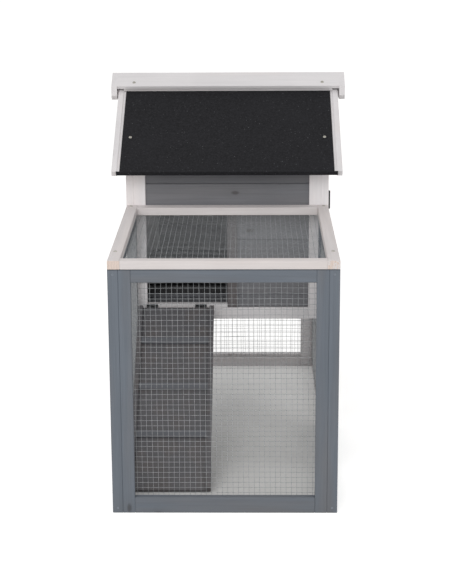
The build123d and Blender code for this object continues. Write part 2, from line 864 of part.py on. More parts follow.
with BuildPart() as run_door_stiles:
    for spans in run_stiles:
        bar(*spans)
    chamfer(run_door_stiles.edges(), eased)
keep(run_door_stiles, "run_door_stiles")

with BuildPart() as run_door_rails:
    for spans in run_rails:
        bar(*spans)
    chamfer(run_door_rails.edges(), eased)
keep(run_door_rails, "run_door_rails")

door_sheet_inset = door_member - wire_lap
with BuildPart() as run_door_mesh:
    side_sheet(
        run_door_x[0],
        (run_door_y[0] + door_sheet_inset, run_door_y[1] - door_sheet_inset),
        (run_door_z[0] + door_sheet_inset, run_door_z[1] - door_sheet_inset),
        -1,
    )
keep(run_door_mesh, "run_door_mesh")

# Hinges: two leaves and a pin each; the fixed leaf has the end knuckles
pin_out = knuckle_radius + seat_gap
ramp_spots = [
    Vector(x, ramp_pin_y, ramp_pin_z)
    for x in (ramp_left + ramp_hinge_inset, ramp_right - ramp_hinge_inset)
]
lid_pin = ((strip_end + lid_start) / 2, roof_stack + pin_out)
lid_spots = [rear_slope.from_local_coords((*lid_pin, x)) for x in (-lid_hinge_x, lid_hinge_x)]
house_spots = [
    Vector(house_side + pin_out, between_legs[0] + door_gap / 2, z)
    for z in (house_door_z[0] + house_hinge_inset, house_door_z[1] - house_hinge_inset)
]
run_spots = [
    Vector(run_side + pin_out, post_middle[1] + door_gap / 2, z)
    for z in (run_door_z[0] + run_hinge_inset, run_door_z[1] - run_hinge_inset)
]


def leaf_planes(spots, across, outward):
    """Planes at spots, for leaves that run across on wood that faces outward."""
    along = Vector(across).cross(Vector(outward))
    return [Plane(origin=spot, x_dir=across, z_dir=along) for spot in spots]


up, right, back = Vector(0, 0, 1), Vector(1, 0, 0), Vector(0, 1, 0)
down_ramp = ramp_plane.y_dir * -1
down_lid = rear_slope.x_dir
fixed_leaf_groups = [
    hinge_leaves(
        leaf_planes(ramp_spots, up, -back),
        sill_leaf_reach, ramp_leaf_width, ramp_knuckle_radius, False,
    ),
    hinge_leaves(
        leaf_planes(lid_spots, -down_lid, rear_slope.y_dir),
        leaf_reach, leaf_height, knuckle_radius, False,
    ),
    hinge_leaves(
        leaf_planes(house_spots + run_spots, -back, right),
        leaf_reach, leaf_height, knuckle_radius, False,
    ),
]

with BuildPart() as fixed_hinge_leaves:
    for group in fixed_leaf_groups:
        add(group.part)
keep(fixed_hinge_leaves, "fixed_hinge_leaves")

ramp_hinge_leaves = hinge_leaves(
    leaf_planes(ramp_spots, down_ramp, ramp_plane.z_dir * -1),
    leaf_reach, ramp_leaf_width, ramp_knuckle_radius, True,
)
keep(ramp_hinge_leaves, "ramp_hinge_leaves")

lid_hinge_leaves = hinge_leaves(
    leaf_planes(lid_spots, down_lid, rear_slope.y_dir),
    leaf_reach, leaf_height, knuckle_radius, True,
)
keep(lid_hinge_leaves, "lid_hinge_leaves")

house_door_hinge_leaves = hinge_leaves(
    leaf_planes(house_spots, back, right), leaf_reach, leaf_height, knuckle_radius, True
)
keep(house_door_hinge_leaves, "house_door_hinge_leaves")

run_door_hinge_leaves = hinge_leaves(
    leaf_planes(run_spots, back, right), leaf_reach, leaf_height, knuckle_radius, True
)
keep(run_door_hinge_leaves, "run_door_hinge_leaves")

with BuildPart() as hinge_pins:
    with Locations(*leaf_planes(ramp_spots, up, -back)):
        Cylinder(pin_radius, ramp_leaf_width)
    with Locations(*leaf_planes(lid_spots, down_lid, rear_slope.y_dir)):
        Cylinder(pin_radius, leaf_height)
    with Locations(*leaf_planes(house_spots + run_spots, back, right)):
        Cylinder(pin_radius, leaf_height)
keep(hinge_pins, "hinge_pins")


# Barrel bolts: guides on the door's face, the bolt in them, and a keeper on the post
def guides(face, spans, z, bore):
    """Adds upright guides with a bore along Y, on a face that looks towards +X."""
    top = face + bolt_height + bolt_radius + plate_thickness
    side = bolt_radius + 2 * plate_thickness
    for span in spans:
        bar((face, top), span, (z - side, z + side))
    for span in spans:
        with Locations(Plane(origin=(face + bolt_height, sum(span) / 2, z), z_dir=(0, 1, 0))):
            Cylinder(bore, 2 * (span[1] - span[0]), mode=Mode.SUBTRACT)


def plate_places(edge):
    """Where a bolt's plate and its two guides lie, back from the door's free edge."""
    plate = (edge - eased - plate_length, edge - eased)
    ends = ((plate[0], plate[0] + guide_length), (plate[1] - guide_length, plate[1]))
    return plate, ends


def bolt_plate(face, edge, z):
    """The plate with its two guides."""
    plate, ends = plate_places(edge)
    with BuildPart() as body:
        bar((face, face + plate_thickness), plate, (z - plate_width / 2, z + plate_width / 2))
        guides(face, ends, z, bolt_radius + bolt_play)
    return body


def bolt(face, edge, z):
    """The sliding bolt, drawn back, with its knob against the rear guide."""
    plate, ends = plate_places(edge)
    knob_y = ends[0][1] + bolt_knob_radius + keeper_play
    with BuildPart() as body:
        with Locations(Plane(origin=(face + bolt_height, plate[1], z), z_dir=(0, -1, 0))):
            Cylinder(
                bolt_radius, bolt_length, align=(Align.CENTER, Align.CENTER, Align.MIN)
            )
        chamfer(body.edges().group_by(Axis.Y)[-1], eased)
        with Locations(Plane(origin=(face + bolt_height, knob_y, z), z_dir=(1, 0, 0))):
            Cylinder(
                bolt_knob_radius, bolt_knob_length, align=(Align.CENTER, Align.CENTER, Align.MIN)
            )
        chamfer(body.edges().group_by(Axis.X)[-1], eased)
    return body


house_bolt_at = (house_side, house_door_y[1], sum(house_door_z) / 2)
run_bolt_at = (run_side, run_door_y[1], sum(run_door_z) / 2)

house_bolt_plate = bolt_plate(*house_bolt_at)
keep(house_bolt_plate, "house_bolt_plate")
house_bolt = bolt(*house_bolt_at)
keep(house_bolt, "house_bolt")
run_bolt_plate = bolt_plate(*run_bolt_at)
keep(run_bolt_plate, "run_bolt_plate")
run_bolt = bolt(*run_bolt_at)
keep(run_bolt, "run_bolt")

with BuildPart() as bolt_keepers:
    for face, edge, z in (house_bolt_at, run_bolt_at):
        span = (edge + keeper_gap, edge + keeper_gap + keeper_length)
        bar((face, face + plate_thickness), span, (z - plate_width / 2, z + plate_width / 2))
        guides(face, [span], z, bolt_radius + keeper_play)
keep(bolt_keepers, "bolt_keepers")

for piece in finished:
    export_step(piece, f"parts/{piece.label}.step")
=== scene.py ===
import json
from math import cos, radians, sin

import bmesh
import bpy
from mathutils import Matrix, Vector


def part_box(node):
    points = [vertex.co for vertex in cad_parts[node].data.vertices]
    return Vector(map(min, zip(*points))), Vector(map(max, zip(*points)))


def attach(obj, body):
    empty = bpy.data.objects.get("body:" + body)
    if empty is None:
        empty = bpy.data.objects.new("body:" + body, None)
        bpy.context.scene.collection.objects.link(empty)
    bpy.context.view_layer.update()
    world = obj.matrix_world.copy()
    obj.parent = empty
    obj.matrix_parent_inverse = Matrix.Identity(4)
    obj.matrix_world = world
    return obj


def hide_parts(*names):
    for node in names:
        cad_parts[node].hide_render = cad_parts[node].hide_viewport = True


bl_info = {
    "name": "Guinea Pig Hutch",
    "version": (1, 0, 0),
    "blender": (4, 5, 0),
    "location": "View3D > Sidebar > Hutch",
    "description": "Dresses the packed hutch with painted timber, welded wire, felt and fittings",
    "category": "Object",
}

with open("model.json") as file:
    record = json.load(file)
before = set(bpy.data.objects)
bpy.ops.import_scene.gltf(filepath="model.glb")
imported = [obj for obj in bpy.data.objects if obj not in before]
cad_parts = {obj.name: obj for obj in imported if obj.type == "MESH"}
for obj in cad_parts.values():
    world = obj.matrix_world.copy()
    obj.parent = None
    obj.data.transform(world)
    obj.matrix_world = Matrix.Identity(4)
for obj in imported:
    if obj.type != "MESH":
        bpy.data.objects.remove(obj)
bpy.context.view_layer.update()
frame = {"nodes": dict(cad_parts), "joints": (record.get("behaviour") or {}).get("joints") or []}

# Sizes of the real object that the patterns and the new pieces follow, in metres
ROOF_PITCH = radians(29.4)
RAMP_SLOPE = radians(35.04)
PLANK_PITCH = 0.074
PLANK_START = 0.362             # height of the plank joint above the front wall's bottom rail
WIRE_LAP = 0.008                # how far a wire sheet laps over its frame
LEAF_THICKNESS = 0.0015
LID_LEAVES_ABOVE = 0.8          # hinge leaves above this height belong to the roof's lid
SIDE_LEAVES_BEYOND = 0.25       # hinge leaves beyond this are on the hutch's right side
MERGE_WITHIN = 1e-6             # corners of a CAD mesh that are closer than this are one
RIDGE_Y = sum(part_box("ridge_beam")[end].y for end in (0, 1)) / 2
FRONT_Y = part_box("run_top_side_rails")[0].y
RUN_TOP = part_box("run_front_stiles")[1].z
PAINTED_GAP_SHADE_HEIGHT = 0.0022            # painted shade of the joint gap under the run's top frame
DOWN_FRONT = Vector((0, -cos(ROOF_PITCH), -sin(ROOF_PITCH)))
DOWN_REAR = Vector((0, cos(ROOF_PITCH), -sin(ROOF_PITCH)))
OUT_FRONT = Vector((0, -sin(ROOF_PITCH), cos(ROOF_PITCH)))
OUT_REAR = Vector((0, sin(ROOF_PITCH), cos(ROOF_PITCH)))
RIGHT, BACK, UP = Vector((1, 0, 0)), Vector((0, 1, 0)), Vector((0, 0, 1))


def from_screen(red, green, blue):
    """A screen colour, 0 to 255, as the linear colour that a shader takes."""
    shares = (red / 255, green / 255, blue / 255)
    return tuple(
        share / 12.92 if share <= 0.04045 else ((share + 0.055) / 1.055) ** 2.4
        for share in shares
    )


def colour(name, description, red, green, blue):
    """A colour that a user may change."""
    return bpy.props.FloatVectorProperty(
        name=name, description=description, subtype="COLOR", size=3, min=0.0, max=1.0,
        default=from_screen(red, green, blue),
    )


def length(name, description, default):
    """A length that a user may change, in metres."""
    return bpy.props.FloatProperty(
        name=name, description=description, default=default, min=0.0, unit="LENGTH",
        precision=5,
    )


class HutchPaint(bpy.types.PropertyGroup):
    """Colours of the hutch's paints and coverings."""

    run_frame: colour("Run frame", "Blue-grey paint on the run's panels", 104, 111, 120)
    joinery: colour("White joinery", "White paint on the posts, rails and ridge", 223, 220, 221)
    top_frame: colour("Top frame", "Warmer white paint on the frame over the run", 215, 209, 208)
    boards: colour("House boards", "Grey paint on the tongue-and-groove boards", 118, 119, 123)
    ramp: colour("Ramp", "Dark grey stain on the ramp", 95, 94, 97)
    rungs: colour("Ramp rungs", "Bluish grey stain on the ramp's rungs", 100, 102, 107)
    jamb: colour("Jamb", "Brownish grey paint beside the doorway", 97, 93, 94)
    floor: colour("House floor", "Grey paint on the floor and what lies under it", 104, 105, 109)
    felt: colour("Roof felt", "Ground colour of the mineral felt", 32, 32, 35)
    bare_wood: colour("Bare wood", "Unpainted end grain", 224, 207, 197)
    plastic: colour("Tray", "Black moulded plastic", 28, 28, 30)


class HutchWire(bpy.types.PropertyGroup):
    """Sizes of the welded wire and of what holds it."""

    pitch: length("Pitch", "Middle to middle of two neighbouring wires", 0.0125)
    diameter: length("Diameter", "Thickness of a wire", 0.00085)
    waviness: length("Waviness", "How far the wires stray from straight", 0.0036)
    staple_spacing: length("Staple spacing", "About how far apart the staples are", 0.085)
    staple_crown: length("Staple crown", "Length of a staple's bar", 0.010)
    staple_depth: length("Staple depth", "How high a staple's legs stand", 0.001445)
    staple_gauge: length("Staple gauge", "Thickness of a staple's wire", 0.0008)


class HutchScrews(bpy.types.PropertyGroup):
    """Sizes of the screw heads."""

    frame_radius: length("Frame screw", "Head radius of the screws in the timber", 0.0042)
    frame_height: length("Frame screw height", "Head height of the screws in the timber", 0.0018)
    front_radius: length("Front screw", "Head radius of the screws in the run's front", 0.003)
    front_proud: length("Front screw height", "How far the run's front screws stand proud", 0.0003)
    front_inset: length(
        "Front screw inset", "From the run's top or foot to its front screws", 0.012
    )
    leaf_radius: length("Hinge screw", "Head radius of the screws in the hinge leaves", 0.0026)
    leaf_height: length("Hinge screw height", "How far a hinge screw stands proud", 0.0007)
    leaf_inset: length("Hinge screw inset", "From a leaf's far edge to its screws", 0.0085)
    leaf_spacing: length("Hinge screw spacing", "Between two screws of one leaf", 0.0155)


class HutchStudio(bpy.types.PropertyGroup):
    """The camera, the lamps and the floor."""

    eye: bpy.props.FloatVectorProperty(
        name="Eye", description="Where the camera stands", subtype="XYZ", unit="LENGTH",
        default=(0.062, -4.0634, 1.456),
    )
    yaw: bpy.props.FloatProperty(
        name="Yaw", description="Turn of the camera to its right", unit="ROTATION",
        default=radians(-0.94),
    )
    pitch: bpy.props.FloatProperty(
        name="Pitch", description="How far the camera looks down", unit="ROTATION",
        default=radians(14.97),
    )
    roll: bpy.props.FloatProperty(
        name="Roll", description="Lean of the camera", unit="ROTATION",
        default=radians(-0.31),
    )
    lens: bpy.props.FloatProperty(
        name="Lens", description="Focal length in millimetres", default=98.63, min=1.0
    )
    sky: bpy.props.FloatProperty(
        name="Sky", description="Strength of the light from all round", default=0.62, min=0.0
    )
    key: bpy.props.FloatProperty(
        name="Key lamp", description="Power of the front lamp, in watts", default=62.0, min=0.0
    )
    fill: bpy.props.FloatProperty(
        name="Fill lamp", description="Power of the side lamp, in watts", default=16.0, min=0.0
    )
    floor: colour("Floor", "Pale studio floor", 236, 235, 233)


def start_clean():
    """Leaves nothing selected, so that an operator acts only on what comes next."""
    if bpy.context.object and bpy.context.object.mode != "OBJECT":
        bpy.ops.object.mode_set(mode="OBJECT")
    bpy.ops.object.select_all(action="DESELECT")


def choose(*pieces):
    """Selects these pieces alone and makes the first one active."""
    start_clean()
    for piece in pieces:
        piece.select_set(True)
    bpy.context.view_layer.objects.active = pieces[0]


def settle(piece):
    """Moves a piece's place, turn and scale into its mesh."""
    choose(piece)
    bpy.ops.object.transform_apply(location=True, rotation=True, scale=True)


def pick(piece, kind, test):
    """Selects the verts, edges or faces of a mesh in edit mode that pass a test."""
    shape = bmesh.from_edit_mesh(piece.data)
    for element in (*shape.faces, *shape.edges, *shape.verts):
        element.select = False
    for element in getattr(shape, kind):
        if test(element):
            element.select_set(True)
    bmesh.update_edit_mesh(piece.data)


def apply_modifier(piece, kind, **settings):
    """Adds a modifier with these settings and applies it."""
    choose(piece)
    bpy.ops.object.modifier_add(type=kind)
    modifier = piece.modifiers[-1]
    for key, value in settings.items():
        setattr(modifier, key, value)
    bpy.ops.object.modifier_apply(modifier=modifier.name)


def joined(name, pieces):
    """Joins pieces into one with this name, its place in its mesh."""
    choose(*pieces)
    if len(pieces) > 1:
        bpy.ops.object.join()
    piece = bpy.context.object
    settle(piece)
    piece.name = name
    piece.data.name = name
    return piece


def copies(model, places):
    """Copies of a modelled piece, each with its own mesh, one at each place's matrix."""
    made = []
    for place in places:
        copy = model.copy()
        copy.data = model.data.copy()
        bpy.context.scene.collection.objects.link(copy)
        copy.matrix_world = place
        made.append(copy)
    bpy.data.objects.remove(model)
    return made


def finished(piece, body, material, replaced=()):
    """Gives a new piece its material, its body and the nodes that it stands for."""
    piece.data.materials.clear()
    piece.data.materials.append(material)
    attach(piece, body)
    if replaced:
        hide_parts(*replaced)


def solids(node):
    """The corner points of each separate solid of a CAD node."""
    shape = bmesh.new()
    shape.from_mesh(frame["nodes"][node].data)
    bmesh.ops.remove_doubles(shape, verts=shape.verts, dist=MERGE_WITHIN)
    shape.verts.ensure_lookup_table()
    shape.verts.index_update()
    seen = set()
    found = []
    for start in shape.verts:
        if start.index in seen:
            continue
        seen.add(start.index)
        reached = [start]
        for vert in reached:
            for edge in vert.link_edges:
                other = edge.other_vert(vert)
                if other.index not in seen:
                    seen.add(other.index)
                    reached.append(other)
        found.append([vert.co.copy() for vert in reached])
    shape.free()
    return found


def spread(points, direction):
    """How far points reach along a direction, as (least, most)."""
    reaches = [point.dot(direction) for point in points]
    return min(reaches), max(reaches)


def middle(points, direction):
    """The middle of the points' reach along a direction."""
    return sum(spread(points, direction)) / 2


# Materials

RINGS = (2.2, 55.0)             # growth rings, in cycles a metre along and across the grain
BRUSHING = (9.0, 420.0)         # brush marks, in the same way
FADED_STREAKS = (2.5, 22.0)     # streaks of faded paint, in the same way
KNOT_CELLS = (6.0, 12.0)        # cells a metre that may hold a knot, in the same way
KNOT_EDGE = (0.06, 0.105)       # where a knot fades out, from the middle of its cell
SWIRL_EDGE = (0.10, 0.30)       # where the grain's swirl round a knot fades out
FADED = (1.14, 0.97, 0.85)      # what fading makes of a paint's red, green and blue
KNOTTED = (0.46, 0.42, 0.40)    # what a knot makes of them
PLANK_SHIFT = 7.0               # how far apart two planks lie in the wood's pattern
PLANK_TONES = (0.90, 1.06)      # the darkest and the lightest plank
POST_PAINTED_LIGHT = 1.13                # painted light: the posts are made lighter than the rails to make up for the shade that the eaves cast on them
GRIME_HEIGHT = 0.07             # how far up the timber its grime reaches
END_DEPTH = 0.0009              # how far back from the front the bare end wood shows
CHIP_COVER = (-0.2, 0.2, 0.30, 0.50)    # from x, to x, and how much paint is left at each


def add_node(tree, kind, inputs=None, **settings):
    """Adds a node with these settings, and with values or links at its inputs."""
    node = tree.nodes.new(kind)
    for key, value in settings.items():
        setattr(node, key, value)
    for key, value in (inputs or {}).items():
        if isinstance(value, bpy.types.NodeSocket):
            tree.links.new(value, node.inputs[key])
        else:
            node.inputs[key].default_value = value
    return node


def maths(tree, operation, first, second=0.0):
    """The output of a Math node."""
    return add_node(tree, "ShaderNodeMath", {0: first, 1: second}, operation=operation).outputs[0]


def ramp_value(tree, value, low, high, to_low=0.0, to_high=1.0):
    """Value carried from the span low to high over to another span."""
    inputs = {
        "Value": value, "From Min": low, "From Max": high, "To Min": to_low, "To Max": to_high,
    }
    return add_node(tree, "ShaderNodeMapRange", inputs).outputs[0]


def opaque(tint):
    """A colour of three numbers with a full alpha."""
    return (*tint, 1.0)


def scaled(tint, share):
    """A colour made darker or lighter."""
    return tuple(min(1.0, channel * share) for channel in tint)


def tinted(tint, shares):
    """A colour with a share of its own for each channel."""
    return tuple(channel * share for channel, share in zip(tint, shares))


def as_grey(tree, value):
    """A value as a grey colour."""
    return add_node(tree, "ShaderNodeCombineXYZ", {0: value, 1: value, 2: value}).outputs[0]


def mixed(tree, share, first, second, mode="MIX"):
    """The output of a colour mix."""
    inputs = {
        0: share,
        6: first if isinstance(first, bpy.types.NodeSocket) else opaque(first),
        7: second if isinstance(second, bpy.types.NodeSocket) else opaque(second),
    }
    node = add_node(tree, "ShaderNodeMix", inputs, data_type="RGBA", blend_type=mode)
    return node.outputs[2]


def noise(tree, vector, scale, detail=3.0, roughness=0.5, distortion=0.0):
    """The value of a noise at this scale."""
    inputs = {
        "Vector": vector, "Scale": scale, "Detail": detail, "Roughness": roughness,
        "Distortion": distortion,
    }
    return add_node(tree, "ShaderNodeTexNoise", inputs).outputs[0]


def new_material(name, roughness=0.5, metallic=0.0, specular=0.5):
    """A material with its tree, its shader and the place that its patterns follow."""
    material = bpy.data.materials.new(name)
    material.use_nodes = True
    tree = material.node_tree
    shader = next(node for node in tree.nodes if node.type == "BSDF_PRINCIPLED")
    shader.inputs["Roughness"].default_value = roughness
    shader.inputs["Metallic"].default_value = metallic
    shader.inputs["Specular IOR Level"].default_value = specular
    place = add_node(tree, "ShaderNodeTexCoord").outputs["Object"]
    return material, tree, shader, place


def set_bump(tree, shader, height, strength, distance):
    """Bumps the shader's surface by a height."""
    inputs = {"Height": height, "Strength": strength, "Distance": distance}
    bump = add_node(tree, "ShaderNodeBump", inputs)
    tree.links.new(bump.outputs["Normal"], shader.inputs["Normal"])


def along_grain(tree, place, grain, along, across):
    """The place scaled so that a pattern runs with the grain."""
    scale = [across, across, across]
    scale["XYZ".index(grain)] = along
    return add_node(tree, "ShaderNodeMapping", {"Vector": place, "Scale": scale}).outputs[0]


def plank_by_plank(tree, height, place):
    """The place moved to other wood for each plank, and that plank's own tone."""
    row = maths(tree, "SUBTRACT", height, PLANK_START)
    row = maths(tree, "FLOOR", maths(tree, "DIVIDE", row, PLANK_PITCH))
    chance = add_node(tree, "ShaderNodeTexWhiteNoise", {"W": row}, noise_dimensions="1D")
    inputs = {0: chance.outputs["Color"], 3: PLANK_SHIFT}
    shift = add_node(tree, "ShaderNodeVectorMath", inputs, operation="SCALE").outputs[0]
    moved = add_node(tree, "ShaderNodeVectorMath", {0: place, 1: shift}, operation="ADD")
    tone = ramp_value(tree, chance.outputs["Value"], 0.0, 1.0, *PLANK_TONES)
    return moved.outputs[0], tone


def wood_knots(tree, place, grain, growth, share):
    """Masks of the knots, which a share of the cells hold, and of the swirl round each."""
    along, across = KNOT_CELLS
    parts = add_node(tree, "ShaderNodeSeparateXYZ", {0: place})
    lengthwise = maths(tree, "MULTIPLY", parts.outputs[grain], along)
    others = [parts.outputs[axis] for axis in "XYZ" if axis != grain]
    sideways = maths(tree, "MULTIPLY", maths(tree, "ADD", *others), across)
    face = add_node(tree, "ShaderNodeCombineXYZ", {0: lengthwise, 1: sideways}).outputs[0]
    inputs = {"Vector": face, "Scale": 1.0}
    cells = add_node(tree, "ShaderNodeTexVoronoi", inputs, voronoi_dimensions="2D")
    chance = add_node(tree, "ShaderNodeSeparateColor", {0: cells.outputs["Color"]}).outputs[0]
    chosen = maths(tree, "LESS_THAN", chance, share)
    away = maths(tree, "ADD", cells.outputs["Distance"], maths(tree, "MULTIPLY", growth, 0.05))
    knot = maths(tree, "MULTIPLY", ramp_value(tree, away, *KNOT_EDGE, 1.0, 0.0), chosen)
    swirl = maths(tree, "MULTIPLY", ramp_value(tree, away, *SWIRL_EDGE, 1.0, 0.0), chosen)
    return knot, swirl


def chipped_ends(tree, axes, place, tint):
    """A tint with streaked bare wood where the paint is chipped off the front ends."""
    end = maths(tree, "LESS_THAN", axes.outputs["Y"], FRONT_Y + END_DEPTH)
    covered = ramp_value(tree, axes.outputs["X"], *CHIP_COVER)
    chipped = maths(tree, "GREATER_THAN", noise(tree, place, 90.0, 3.0, 0.6), covered)
    inputs = {
        "Vector": place, "Scale": 90.0, "Distortion": 4.0, "Detail": 2.0, "Detail Scale": 2.0,
    }
    streaks = add_node(
        tree, "ShaderNodeTexWave", inputs, wave_type="BANDS", bands_direction="X"
    ).outputs["Fac"]
    bare = bpy.context.scene.hutch_paint.bare_wood
    wood = mixed(tree, streaks, bare, scaled(bare, 0.78))
    return mixed(tree, maths(tree, "MULTIPLY", end, chipped), tint, wood)


def painted_wood(
    name, paint, grain, slope=0.0, planks=False, bare_ends=False, show=1.0, knot_share=0.1,
    painted_gap_shade=False, fade=0.12,
):
    """Brushed paint on planed softwood, with the grain and a few knots showing through."""
    material, tree, shader, place = new_material(name, specular=0.35)
    axes = add_node(tree, "ShaderNodeSeparateXYZ", {0: place})
    wood = place
    if slope:
        inputs = {"Vector": place, "Angle": slope}
        turned = add_node(tree, "ShaderNodeVectorRotate", inputs, rotation_type="X_AXIS")
        wood = turned.outputs[0]
    if planks:
        wood, tone = plank_by_plank(tree, axes.outputs["Z"], wood)
    growth = noise(tree, along_grain(tree, wood, grain, *RINGS), 1.0, 4.0, 0.55, 0.8)
    brush = noise(tree, along_grain(tree, wood, grain, *BRUSHING), 1.0, 3.0, 0.6)
    patches = noise(tree, place, 7.0, 2.0)
    knot, swirl = wood_knots(tree, wood, grain, growth, knot_share)

    worn = noise(tree, along_grain(tree, wood, grain, *FADED_STREAKS), 1.0, 2.0)
    fading = maths(tree, "MULTIPLY", ramp_value(tree, worn, 0.45, 0.68), fade)
    ground = mixed(tree, fading, paint, tinted(paint, FADED))
    band = ramp_value(tree, growth, 0.42, 0.68, 0.0, 0.34 * show)
    band = maths(tree, "ADD", band, maths(tree, "MULTIPLY", swirl, 0.22 * show))
    ringed = mixed(tree, 1.0, ground, (0.70, 0.70, 0.70), "MULTIPLY")
    tint = mixed(tree, band, ground, ringed)
    streak = ramp_value(tree, brush, 0.35, 0.7, 1.0 - 0.07 * show, 1.0 + 0.05 * show)
    streak = maths(tree, "MULTIPLY", streak, ramp_value(tree, patches, 0.3, 0.7, 0.965, 1.03))
    if planks:
        streak = maths(tree, "MULTIPLY", streak, tone)
    tint = mixed(tree, 1.0, tint, as_grey(tree, streak), "MULTIPLY")
    tint = mixed(tree, maths(tree, "MULTIPLY", knot, 0.85 * show), tint, tinted(paint, KNOTTED))

    low = ramp_value(tree, axes.outputs["Z"], 0.0, GRIME_HEIGHT, 1.0, 0.0)
    grime = maths(tree, "MULTIPLY", low, ramp_value(tree, patches, 0.35, 0.75, 0.0, 0.18))
    tint = mixed(tree, grime, tint, scaled(from_screen(120, 112, 102), 0.8))
    # painted shade: a dark line at the top of the frame, where the joint gap under the run's top
    # frame lies in shade
    if painted_gap_shade:
        joint = maths(tree, "GREATER_THAN", axes.outputs["Z"], RUN_TOP - PAINTED_GAP_SHADE_HEIGHT)
        tint = mixed(tree, maths(tree, "MULTIPLY", joint, 0.65), tint, scaled(paint, 0.25))
    if bare_ends:
        tint = chipped_ends(tree, axes, place, tint)
    tree.links.new(tint, shader.inputs["Base Color"])

    rough = ramp_value(tree, brush, 0.3, 0.7, 0.46, 0.60)
    tree.links.new(rough, shader.inputs["Roughness"])
    height = maths(tree, "ADD", maths(tree, "MULTIPLY", growth, 0.7), brush)
    height = maths(tree, "SUBTRACT", height, maths(tree, "MULTIPLY", knot, 0.5))
    set_bump(tree, shader, height, 0.55 * show, 0.0004)
    return material


def mineral_felt(name, ground):
    """Bitumen felt covered with fine mineral granules."""
    material, tree, shader, place = new_material(name, roughness=0.94, specular=0.22)
    grains = add_node(tree, "ShaderNodeTexVoronoi", {"Vector": place, "Scale": 720.0})
    chance = add_node(tree, "ShaderNodeSeparateColor", {0: grains.outputs["Color"]}).outputs[0]
    clumps = noise(tree, place, 160.0, 3.0, 0.6)
    clouds = noise(tree, place, 9.0, 4.0, 0.6, 0.4)
    tint = mixed(tree, chance, scaled(ground, 0.55), scaled(ground, 1.55))
    bright = maths(tree, "GREATER_THAN", chance, 0.9965)
    tint = mixed(tree, maths(tree, "MULTIPLY", bright, 0.8), tint, from_screen(120, 121, 124))
    tint = mixed(tree, ramp_value(tree, clumps, 0.40, 0.62, 0.0, 0.8), tint, scaled(ground, 0.5))
    pale = noise(tree, place, 210.0, 2.0, 0.7)
    tint = mixed(tree, ramp_value(tree, pale, 0.55, 0.72, 0.0, 0.55), tint, scaled(ground, 1.9))
    tint = mixed(tree, ramp_value(tree, clouds, 0.4, 0.75, 0.0, 0.35), tint, scaled(ground, 1.35))
    tree.links.new(tint, shader.inputs["Base Color"])
    height = maths(tree, "ADD", grains.outputs["Distance"], maths(tree, "MULTIPLY", clumps, 0.8))
    set_bump(tree, shader, height, 0.7, 0.0007)
    return material


def metal(name, first, second, roughness, metallic, scale):
    """A metal whose colour and polish change in small spangles."""
    material, tree, shader, place = new_material(name, roughness, metallic)
    spangle = add_node(tree, "ShaderNodeTexVoronoi", {"Vector": place, "Scale": scale})
    chance = add_node(tree, "ShaderNodeSeparateColor", {0: spangle.outputs["Color"]}).outputs[0]
    tree.links.new(mixed(tree, chance, first, second), shader.inputs["Base Color"])
    rough = ramp_value(tree, chance, 0.0, 1.0, roughness * 0.85, roughness * 1.2)
    tree.links.new(rough, shader.inputs["Roughness"])
    set_bump(tree, shader, noise(tree, place, scale * 2.0, 4.0), 0.25, 0.0002)
    return material


def smooth_coat(name, tint, roughness, grain, depth):
    """Lacquer or moulded plastic with a fine even skin."""
    material, tree, shader, place = new_material(name, roughness)
    skin = noise(tree, place, grain, 4.0, 0.6)
    dust = noise(tree, place, 14.0, 3.0, 0.6)
    shade = ramp_value(tree, dust, 0.35, 0.75)
    tree.links.new(mixed(tree, shade, tint, scaled(tint, 1.5)), shader.inputs["Base Color"])
    rough = ramp_value(tree, dust, 0.3, 0.7, roughness * 0.85, roughness * 1.25)
    tree.links.new(rough, shader.inputs["Roughness"])
    set_bump(tree, shader, skin, 0.5, depth)
    return material


def dress(material, *names):
    """Gives CAD nodes a material."""
    for name in names:
        data = frame["nodes"][name].data
        data.materials.clear()
        data.materials.append(material)


# New pieces

WIRE_STRETCH = 0.055            # a wire bends in stretches of about this length
LAYER_LEVELS = (0.5, 1.4)       # middles of a sheet's two layers, in diameters above its seat
WAVE_SIZES = {"X": 0.11, "Y": 0.13, "Z": 0.15}
WAVE_ACROSS = 0.45              # share of the waviness that is left across a sheet's plane
HEAD_ROUNDING = 0.7             # share of a screw head's height that is rounded
RECESS_LENGTH = 1.15            # of a screw's cross recess, in head radii
RECESS_WIDTH = 0.24             # of each of its slots, in head radii


def model_wire(wire_length, direction, diameter):
    """One straight wire along an axis, cut into short stretches so that it can bend."""
    turns = {"X": (0, radians(90), 0), "Y": (radians(90), 0, 0), "Z": (0, 0, 0)}
    start_clean()
    bpy.ops.mesh.primitive_cylinder_add(
        vertices=6, radius=diameter / 2, depth=wire_length, rotation=turns[direction]
    )
    wire = bpy.context.object
    bpy.ops.object.mode_set(mode="EDIT")
    bpy.ops.mesh.select_mode(type="EDGE")
    pick(wire, "edges", lambda edge: edge.calc_length() > wire_length / 2)
    bpy.ops.mesh.subdivide(number_cuts=max(3, round(wire_length / WIRE_STRETCH)))
    bpy.ops.object.mode_set(mode="OBJECT")
    settle(wire)
    return wire


def wire_layer(low, high, along, across, level, diameter, pitch):
    """Parallel wires that fill a rectangle, side by side along the other axis."""
    run, step = "XYZ".index(along), "XYZ".index(across)
    wire = model_wire(high[run] - low[run], along, diameter)
    gaps = round((high[step] - low[step] - diameter) / pitch)
    offset = Vector((0, 0, 0))
    offset[step] = (high[step] - low[step] - diameter) / gaps
    apply_modifier(
        wire, "ARRAY", count=gaps + 1, use_relative_offset=False, use_constant_offset=True,
        constant_offset_displace=offset,
    )
    place = (low + high) / 2
    place[step] = low[step] + diameter / 2
    place[3 - run - step] = level
    wire.location = place
    return wire


